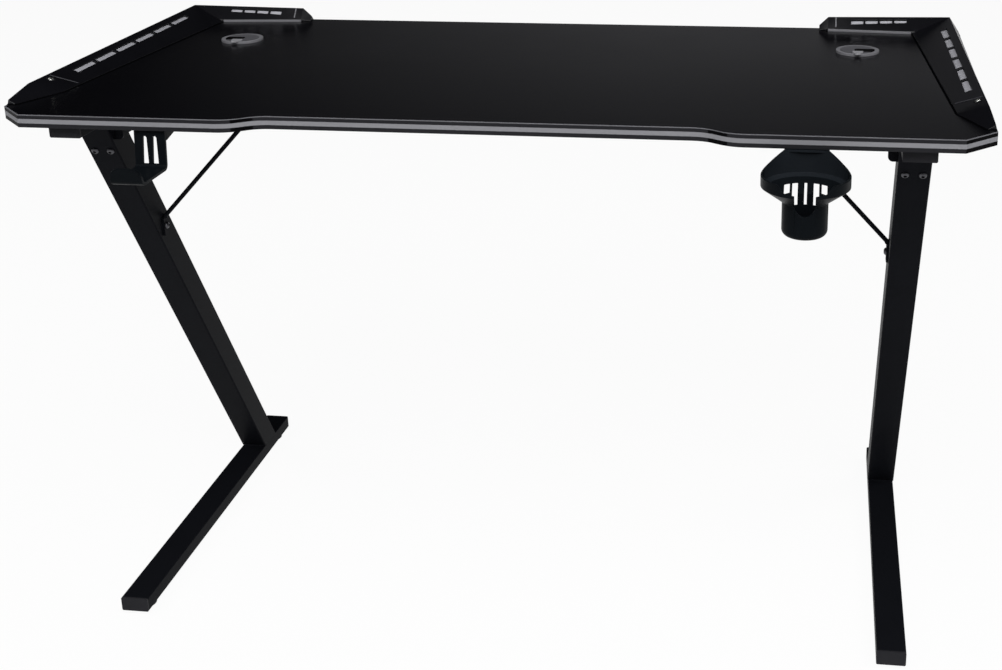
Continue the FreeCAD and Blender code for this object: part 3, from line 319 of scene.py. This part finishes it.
PAIRED = {
    "wing_abs": ["wing_shell"],
    "diffuser_plastic": ["side_diffuser", "rear_diffuser"],
    "led_strip_film": ["side_led_strip", "rear_led_strip"],
    "grey_abs": ["grommet_ring"],
    "powder_coated_steel": ["top_rail", "leg", "leg_insert", "foot", "corner_bracket", "brace"],
    "cap_plastic": ["rail_front_cap", "rail_rear_cap", "foot_front_cap", "foot_rear_cap"],
    "pad_plastic": ["front_leveller", "rear_leveller"],
}
SINGLE = {
    "black_laminate": ["desktop_board"],
    "edge_band_pvc": ["edge_band"],
    "powder_coated_steel": ["front_crossbar", "rear_crossbar"],
    "zinc_steel": ["leveller_inserts"],
    "black_bolt_steel": ["leg_bolts", "crossbar_bolts", "bracket_bolts", "brace_bolts", "frame_screws",
                         "cup_holder_screws", "hook_screws"],
    "accessory_abs": ["cup_holder", "headphone_hook"],
}
# The least share of a face's direction that counts as inward, or as to the front
RING_INWARD = 0.5
BAND_FRONT = 0.9
SHIELD_FRONT = 0.2
# How far the shield reaches down from the cup holder's top, and how far behind its front it stands
SHIELD_HIGH = 28.5 * MM
SHIELD_BACK = 50 * MM
CUP_LOW, CUP_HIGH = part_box("cup_holder")


def dress(node, slot, finish=None):
    """Gives a CAD node its finish."""
    slots = NODES[node].data.materials
    slots.clear()
    slots.append(finish or FINISHES[slot])


def dress_faces(node, finish, belongs):
    """Gives another finish to those faces of a CAD node that belong."""
    mesh = NODES[node].data
    mesh.materials.append(finish)
    for face in mesh.polygons:
        if belongs(face):
            face.material_index = len(mesh.materials) - 1


def ring_axis(side):
    """The middle of a grommet's ring."""
    return sum(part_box(f"{side}_grommet_ring"), Vector()) / 2


def inside_ring(side):
    """A test that tells the bore and ledge of a grommet's ring from its other faces."""
    axis = ring_axis(side)
    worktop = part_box("desktop_board")[1].z

    def belongs(face):
        out = (face.center - axis).xy
        return face.center.z < worktop or face.normal.xy.dot(out) < -RING_INWARD * out.length

    return belongs


def on_front_run(face):
    """Whether a face of the edge band looks to the front."""
    return face.normal.y < -BAND_FRONT


def on_shield(face):
    """Whether a face of the cup holder is on the shield behind its ring and looks to the front."""
    corners = [NODES["cup_holder"].data.vertices[i].co.z for i in face.vertices]
    return (face.normal.y < -SHIELD_FRONT and max(corners) > CUP_HIGH.z - SHIELD_HIGH
            and face.center.y > CUP_LOW.y + SHIELD_BACK)


for slot, names in PAIRED.items():
    for name in names:
        for side in HANDS:
            dress(f"{side}_{name}", slot)
for slot, names in SINGLE.items():
    for name in names:
        dress(name, slot)
for side in HANDS:
    dress(f"{side}_rear_trim", "grey_abs", TRIM_AND_HIGHLIGHT_FINISH)
    dress(f"{side}_grommet_cap", "grey_abs", CAP_FINISH)
    # The bores and ledges of the rings get painted shade.
    dress_faces(f"{side}_grommet_ring", PAINTED_SHADE_FINISH, inside_ring(side))
# The band's faces that look to the front get painted light.
dress_faces("edge_band", FRONT_RUN_PAINTED_LIGHT, on_front_run)
# The shield's front faces get painted light.
dress_faces("cup_holder", SHIELD_PAINTED_LIGHT, on_shield)


# Broken edges, in millimetres

PAIRED_BREAKS = {"wing_shell": 0.7, "rear_trim": 0.4, "grommet_ring": 0.4}
SINGLE_BREAKS = {"edge_band": 0.5, "cup_holder": 0.4, "headphone_hook": 0.4}
CAP_BREAK = 0.3
SHARP_TURN = math.radians(24)


def break_edges(piece, width):
    """Breaks a piece's sharp edges, as its tool or sander does, so that they catch the light."""
    weld = piece.modifiers.new("join_faces", "WELD")
    weld.merge_threshold = SAME_POINT
    bevel = piece.modifiers.new("broken_edges", "BEVEL")
    bevel.width = width * MM
    bevel.segments = 2
    bevel.limit_method = "ANGLE"
    bevel.angle_limit = SHARP_TURN
    bevel.use_clamp_overlap = False
    shading = piece.modifiers.new("even_shading", "WEIGHTED_NORMAL")
    shading.weight = 100


for side in HANDS:
    for name, width in PAIRED_BREAKS.items():
        break_edges(NODES[f"{side}_{name}"], width)
for name, width in SINGLE_BREAKS.items():
    break_edges(NODES[name], width)


# How the pieces of this script are made


def new_piece(name, shape, slot, finish=None, body="desk"):
    """A piece from a finished shape, in its finish, riding on a body."""
    bmesh.ops.recalc_face_normals(shape, faces=shape.faces)
    mesh = bpy.data.meshes.new(name)
    shape.to_mesh(mesh)
    shape.free()
    mesh.materials.append(finish or FINISHES[slot])
    piece = bpy.data.objects.new(name, mesh)
    bpy.context.scene.collection.objects.link(piece)
    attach(piece, body)
    return piece


def skin(shape, rings):
    """A closed skin over rings of points, given as its walls and its two ends."""
    walls = []
    for near, far in zip(rings, rings[1:]):
        walls += [shape.faces.new((near[i - 1], near[i], far[i], far[i - 1])) for i in range(len(near))]
    ends = [shape.faces.new(rings[0]), shape.faces.new(rings[-1])]
    return walls, ends


def stand(seat, outward):
    """Placement of a turned piece: its foot at the seat and its axis outward."""
    return Matrix.Translation(seat) @ outward.to_track_quat("Z", "Y").to_matrix().to_4x4()


def turned(shape, stance, profile, sides=24):
    """A turned piece, with a profile of reaches, fixed or by turn, and heights, in millimetres."""
    turns = [2 * math.pi * i / sides for i in range(sides)]
    rings = []
    for reach, height in profile:
        spans = [reach(turn) if callable(reach) else reach for turn in turns]
        spots = [Vector((span * math.cos(turn), span * math.sin(turn), height))
                 for turn, span in zip(turns, spans)]
        rings.append([shape.verts.new(stance @ (MM * spot)) for spot in spots])
    skin(shape, rings)


# Bolts, with radii, heights and widths in millimetres and the turns of the dome in radians

BOLT_HEAD = 5.0
BOLT_HIGH = 3.0
BOLT_SHANK = 3.0
DOME_TURNS = (0, 0.2, 0.45, 0.75, 1.05)
SOCKET_FLATS = 4.0
SOCKET_DEEP = 1.9


def islands(shape):
    """The separate pieces of a mesh, each a list of faces."""
    left = set(shape.faces)
    for first in shape.faces:
        if first not in left:
            continue
        left.remove(first)
        found = [first]
        for face in found:
            for other in (other for edge in face.edges for other in edge.link_faces):
                if other in left:
                    left.remove(other)
                    found.append(other)
        yield found


def bolt_stands(node):
    """Stand and shank length in millimetres of each bolt in a CAD group."""
    shape = bmesh.new()
    shape.from_mesh(NODES[node].data)
    bmesh.ops.remove_doubles(shape, verts=shape.verts, dist=SAME_POINT)
    for faces in islands(shape):
        facing = {}
        for face in faces:
            key = tuple(round(share, 2) for share in face.normal)
            facing[key] = facing.get(key, 0) + face.calc_area()
        # The seat and the shank's end face the same way, and no other side of a bolt has as much area.
        outward = -Vector(max(facing, key=facing.get)).normalized()
        points = {vert.co.copy().freeze() for face in faces for vert in face.verts}
        rises = [point.dot(outward) for point in points]
        crown = [point for point in points if point.dot(outward) > max(rises) - SAME_LEVEL]
        seat = sum(crown, Vector()) / len(crown) - outward * BOLT_HIGH * MM
        yield stand(seat, outward), (seat.dot(outward) - min(rises)) / MM
    shape.free()


def socket_wall(turn):
    """Reach of the hexagonal socket's wall."""
    sixth = math.pi / 3
    return SOCKET_FLATS / 2 / math.cos(turn % sixth - sixth / 2)


def button_heads(node):
    """Button-head bolts with hexagonal sockets, in place of a CAD group's plain ones."""
    steepness = BOLT_HIGH / math.sin(DOME_TURNS[-1])
    dome = [(BOLT_HEAD * math.cos(turn), steepness * math.sin(turn)) for turn in DOME_TURNS]
    shape = bmesh.new()
    for stance, shank in bolt_stands(node):
        turned(shape, stance, [(BOLT_SHANK, -shank), (BOLT_SHANK, 0), *dome,
                               (socket_wall, BOLT_HIGH), (socket_wall, BOLT_HIGH - SOCKET_DEEP)])
    piece = new_piece(node + "_button_heads", shape, "black_bolt_steel")
    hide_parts(node)


for node in SINGLE["black_bolt_steel"]:
    button_heads(node)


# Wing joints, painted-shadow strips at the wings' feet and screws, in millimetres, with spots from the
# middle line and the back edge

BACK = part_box("edge_band")[1].y
JOINTS = [
    # The joints' lips are painted pale as highlights along the seams.
    ("wing_joint", (560, 449), (591, 462), 1.5, SEAM_HIGHLIGHT_FINISH),
    ("arm_joint", (419.5, 20.5), (419.5, 8.5), 2.2, TRIM_AND_HIGHLIGHT_FINISH),
]
LIP_PROUD = 0.4
LIP_STEPS = 10
# Shares of a lip's width and of how far it stands proud
LIP_PROFILE = [(-0.5, -0.5), (-0.3, 1), (0.3, 1), (0.5, -0.5)]
WING_FOOT = [(532, 39), (560, 488), (587.5, 555), (599, 555)]
FOOT_PROFILE = [(-0.5, -0.1), (2.2, -0.1), (2.0, 0.5), (1.2, 0.9), (-0.5, 0.9)]
WING_SCREW = (584.5, 471.5)
SCREW_COLLAR = [(5.6, -0.4), (5.6, 0.1), (5.1, 0.6), (4.4, 0.6), (4.1, 0.1)]
SCREW_HEAD = [(3.7, -0.3), (3.7, 0.4), (3.4, 0.9), (2.8, 1.3), (2.2, 1.5)]
SCREW_SIDES = 48
CROSS_TOP = 1.55
CROSS_FLOOR = 0.6
CROSS_LONG = 1.9
CROSS_SHORT = 0.7
# Half the turn that one arm of the cross takes up, in radians
CROSS_ARM = 0.3
# Height in metres, above the whole desk, that a plumb line drops from
PLUMB_FROM = 1.0


def wing_skin(side):
    """A wing's faces as a tree that a plumb line can be dropped on."""
    shape = bmesh.new()
    shape.from_mesh(NODES[f"{side}_wing_shell"].data)
    tree = BVHTree.FromBMesh(shape)
    shape.free()
    return tree


def plumb(tree, spot):
    """Point and outward direction where a plumb line meets a wing."""
    return tree.ray_cast(Vector((*spot, PLUMB_FROM)), Vector((0, 0, -1)))[:2]


def on_wing(hand, spot):
    """A spot on the left or right wing, in metres."""
    x, y = spot
    return Vector((hand * x * MM, BACK - y * MM))


def joint_lip(tree, start, end, wide):
    """A low lip where a wing's end piece overlaps its long panel, along a line across the wing."""
    shape = bmesh.new()
    rows = []
    for i in range(LIP_STEPS + 1):
        point, outward = plumb(tree, start.lerp(end, i / LIP_STEPS))
        across = outward.cross((end - start).to_3d()).normalized()
        rows.append([shape.verts.new(point + MM * (across * wide * aside + outward * LIP_PROUD * high))
                     for aside, high in LIP_PROFILE])
    skin(shape, rows)
    return shape


def foot_shadow_strip(path, hand):
    """A low black strip along a wing's foot, beside its inner edge, with mitred corners: a painted shadow.
    """
    shape = bmesh.new()
    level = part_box("desktop_board")[1].z
    runs = [(far - near).normalized() for near, far in zip(path, path[1:])]
    rows = []
    for i, spot in enumerate(path):
        before, after = runs[max(i - 1, 0)], runs[min(i, len(runs) - 1)]
        mean = (before + after).normalized()
        inward = Vector((mean.y, -mean.x)) * hand / mean.dot(after)
        rows.append([shape.verts.new((*(spot + inward * wide * MM), level + high * MM))
                     for wide, high in FOOT_PROFILE])
    skin(shape, rows)
    return shape


def cross_wall(turn):
    """Reach of the cross recess's wall."""
    quarter = math.pi / 2
    return CROSS_LONG if min(turn % quarter, -turn % quarter) < CROSS_ARM else CROSS_SHORT


def wing_details(side, hand):
    """A wing's joint lips, painted-shadow strip at its foot and screw, all seated on the wing and the
    worktop.
    """
    tree = wing_skin(side)
    for name, start, end, wide, finish in JOINTS:
        lip = joint_lip(tree, on_wing(hand, start), on_wing(hand, end), wide)
        new_piece(f"{side}_{name}", lip, "wing_abs", finish)
    # A dark strip stands in for the shadow along the wing's foot.
    bead = foot_shadow_strip([on_wing(hand, spot) for spot in WING_FOOT], hand)
    new_piece(f"{side}_wing_foot_shadow_strip", bead, "wing_abs", FOOT_SHADOW_FINISH)
    seat = stand(*plumb(tree, on_wing(hand, WING_SCREW)))
    collar = bmesh.new()
    turned(collar, seat, SCREW_COLLAR)
    new_piece(f"{side}_wing_screw_collar", collar, "wing_abs")
    head = bmesh.new()
    turned(head, seat, SCREW_HEAD + [(cross_wall, CROSS_TOP), (cross_wall, CROSS_FLOOR)], SCREW_SIDES)
    new_piece(f"{side}_wing_screw", head, "zinc_steel")


for side, hand in HANDS.items():
    wing_details(side, hand)


# Weld beads at the legs' feet, in millimetres, with swells as shares of the bead's radius

WELD_R = 2.2
WELD_PITCH = 3.0
WELD_RINGS = 4
WELD_SIDES = 12
WELD_DIP = 0.85
WELD_END = 0.6
SOLE_HIGH = 0.1


def weld_bead(shape, start, end):
    """A bead along a corner, rippled at every dab of the torch."""
    run = (end - start).length / MM
    last = WELD_RINGS * round(run / WELD_PITCH)
    profile = []
    for i in range(last + 1):
        ripple = WELD_DIP + (1 - WELD_DIP) * math.sin(math.pi * i / WELD_RINGS) ** 2
        swell = WELD_END if i in (0, last) else ripple
        profile.append((WELD_R * swell, run * i / last))
    turned(shape, stand(start, end - start), profile, WELD_SIDES)


def foot_welds(side):
    """The beads at the front and the back of a leg, across its foot."""
    low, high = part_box(f"{side}_foot")
    points = [vert.co for vert in NODES[f"{side}_leg"].data.vertices]
    soles = [point.y for point in points if point.z < high.z + SOLE_HIGH * MM]
    shape = bmesh.new()
    for y in (min(soles), max(soles)):
        ends = [Vector((x, y, high.z)) for x in (low.x + WELD_R * MM, high.x - WELD_R * MM)]
        weld_bead(shape, *ends)
    new_piece(f"{side}_foot_welds", shape, "powder_coated_steel")


for side in HANDS:
    foot_welds(side)


# Grommet caps, in millimetres from the cap's axis and its upper face

CAP_R = 23.9
CAP_THICK = 6.7
CAP_STEPS = 64
NOTCH_BACK = 5.0
NOTCH_FRONT = -15.0
NOTCH_END = -4.0
NOTCH_ROUND = 4.0
NOTCH_STEPS = 6
TAB_OUTLINE = [(-7.5, -17.5), (-7.5, -24), (-3, -36), (3, -36), (7.5, -24), (7.5, -17.5)]
TAB_THICK = 1.8
TAB_SUNK = 0.2
CAP_FINISHES = [CAP_FINISH, PAINTED_SHADE_FINISH, TAB_FINISH]


def arc(x, y, radius, start, end, steps):
    """Points along an arc about a centre, from one angle to another."""
    turns = [start + (end - start) * i / steps for i in range(steps + 1)]
    return [(x + radius * math.cos(turn), y + radius * math.sin(turn)) for turn in turns]


def plate(shape, stance, outline, low, high):
    """A plate of that outline between two levels, given as its walls and its two ends."""
    return skin(shape, [[shape.verts.new(stance @ (MM * Vector((x, y, level)))) for x, y in outline]
                        for level in (low, high)])


def notched_disc():
    """Outline of a cap: a disc with a wide notch to one side, round at its inner corners."""
    back, front = math.asin(NOTCH_BACK / CAP_R), math.asin(NOTCH_FRONT / CAP_R)
    inner = NOTCH_END + NOTCH_ROUND
    rim = arc(0, 0, CAP_R, back, 2 * math.pi + front, CAP_STEPS)
    near = arc(inner, NOTCH_FRONT + NOTCH_ROUND, NOTCH_ROUND, 1.5 * math.pi, math.pi, NOTCH_STEPS)
    far = arc(inner, NOTCH_BACK - NOTCH_ROUND, NOTCH_ROUND, math.pi, 0.5 * math.pi, NOTCH_STEPS)
    return rim + near + far


def grommet_cap(side, hand):
    """A grommet's cap, with its cable notch to the outer side and a tab that reaches over the ring."""
    node = f"{side}_grommet_cap"
    axis = ring_axis(side)
    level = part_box(node)[1].z - TAB_THICK * MM
    stance = Matrix.Translation((axis.x, axis.y, level)) @ Matrix.Diagonal((hand, 1, 1, 1))
    shape = bmesh.new()
    disc_walls, _ = plate(shape, stance, notched_disc(), -CAP_THICK, 0)
    # Painted shade on all the disc's walls, round its rim and its notch.
    for wall in disc_walls:
        wall.material_index = CAP_FINISHES.index(PAINTED_SHADE_FINISH)
    tab_walls, tab_ends = plate(shape, stance, TAB_OUTLINE, -TAB_SUNK, TAB_THICK)
    for face in tab_walls + tab_ends:
        face.material_index = CAP_FINISHES.index(TAB_FINISH)
    piece = new_piece(f"{side}_grommet_cap_notched", shape, "grey_abs", CAP_FINISHES[0], node)
    for finish in CAP_FINISHES[1:]:
        piece.data.materials.append(finish)
    break_edges(piece, CAP_BREAK)
    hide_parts(node)


for side, hand in HANDS.items():
    grommet_cap(side, hand)


# Studio: lamps as a name, a place and a width in metres and a power in watts

LAMPS = [
    ("front_high", (0.2, -2.4, 3.2), 2.4, 100),
    ("left_side", (-2.8, -0.6, 3.0), 1.6, 28),
    ("right_side", (2.8, -0.6, 3.0), 1.6, 40),
    ("front_left", (-2.0, -3.0, 2.7), 1.6, 18),
    ("front_right", (2.0, -3.0, 2.7), 1.6, 34),
]
# The room glows low down and not on its left, which gives the black top its sheen towards the right.
GLOW_LEVEL = 0.2432
GLOW_LEFT = -0.45
GLOW_FULL = -0.12
GLOW_LOW = 0.15
GLOW_HIGH = 0.265
ROOM_WHITE = "#fafaff"
FLOOR_HALF = 30.0
FLOOR_CELLS = 8
# The share of the floor that shows as plain white; the rest keeps the desk's shadow.
FLOOR_WHITE = 0.95


def lamp(name, place, size, power):
    """A soft square lamp at that place, aimed at the middle of the desk."""
    light = bpy.data.lights.new(name, "AREA")
    light.size = size
    light.energy = power
    holder = bpy.data.objects.new(name, light)
    bpy.context.scene.collection.objects.link(holder)
    holder.location = place
    aim = (CAD_BOX[0] + CAD_BOX[1]) / 2 - holder.location
    holder.rotation_euler = aim.to_track_quat("-Z", "Y").to_euler()


def room():
    """A dim room that shows as white behind the desk."""
    world = bpy.data.worlds.new("room")
    bpy.context.scene.world = world
    world.use_nodes = True
    tree = world.node_tree
    tree.nodes.clear()
    way = add(tree, "ShaderNodeTexCoord").outputs["Generated"]
    facing = add(tree, "ShaderNodeSeparateXYZ", {"Vector": way}).outputs
    level = add(tree, "ShaderNodeMapRange", {"Value": facing["X"], "From Min": GLOW_LEFT,
                                             "From Max": GLOW_FULL, "To Min": 0.0, "To Max": GLOW_LEVEL})
    fade = add(tree, "ShaderNodeMapRange", {"Value": facing["Z"], "From Min": GLOW_LOW,
                                            "From Max": GLOW_HIGH, "To Min": 1.0, "To Max": 0.0})
    glow = add(tree, "ShaderNodeMath", {0: level.outputs["Result"], 1: fade.outputs["Result"]},
               operation="MULTIPLY")
    # Glossy rays aren't white here, because the black top would then mirror a white room.
    seen = ray_is(tree, "Is Camera Ray", "Is Transmission Ray")
    strength = add(tree, "ShaderNodeMath", {0: seen, 1: glow.outputs["Value"]}, operation="MAXIMUM")
    air = add(tree, "ShaderNodeBackground", {"Color": linear(ROOM_WHITE),
                                             "Strength": strength.outputs["Value"]})
    add(tree, "ShaderNodeOutputWorld", {"Surface": air.outputs["Background"]})


def paper_floor():
    """White paper: a plain pale ground with a faint shadow of the desk."""
    material, tree, _ = new_finish("white_paper_floor")
    seen = ray_is(tree, "Is Camera Ray", "Is Glossy Ray", "Is Transmission Ray")
    share = add(tree, "ShaderNodeMath", {0: seen, 1: FLOOR_WHITE}, operation="MULTIPLY")
    paper = add(tree, "ShaderNodeBsdfDiffuse", {"Color": linear("#ececec")})
    white = add(tree, "ShaderNodeEmission", {"Color": linear("#ffffff"), "Strength": 1.0})
    mix = add(tree, "ShaderNodeMixShader", {"Fac": share.outputs["Value"], 1: paper.outputs["BSDF"],
                                            2: white.outputs["Emission"]})
    add(tree, "ShaderNodeOutputMaterial", {"Surface": mix.outputs["Shader"]})
    shape = bmesh.new()
    bmesh.ops.create_grid(shape, x_segments=FLOOR_CELLS, y_segments=FLOOR_CELLS, size=FLOOR_HALF)
    mesh = bpy.data.meshes.new("floor")
    shape.to_mesh(mesh)
    shape.free()
    mesh.materials.append(material)
    floor = bpy.data.objects.new("floor", mesh)
    bpy.context.scene.collection.objects.link(floor)


bpy.context.scene.view_settings.view_transform = "Standard"
room()
for setup in LAMPS:
    lamp(*setup)
paper_floor()


# Camera: where the photograph was taken from, in metres and radians, with the lens in millimetres

CAMERA_PLACE = Vector((0.3958, -1.8619, 1.1758))
CAMERA_TURN = 0.1350
CAMERA_DIP = 0.3192
CAMERA_ROLL = -0.0098
CAMERA_LENS = 52.92
CAMERA_SENSOR = 36.0
CAMERA_SHIFT = (-0.123, -0.135)

view = bpy.data.cameras.new("photograph_view")
view.lens = CAMERA_LENS
view.sensor_width = CAMERA_SENSOR
view.shift_x, view.shift_y = CAMERA_SHIFT
camera = bpy.data.objects.new("photograph_view", view)
bpy.context.scene.collection.objects.link(camera)
camera.matrix_world = (Matrix.Translation(CAMERA_PLACE) @ Matrix.Rotation(CAMERA_TURN, 4, "Z")
                       @ Matrix.Rotation(math.pi / 2 - CAMERA_DIP, 4, "X")
                       @ Matrix.Rotation(CAMERA_ROLL, 4, "Z"))
bpy.context.scene.camera = camera
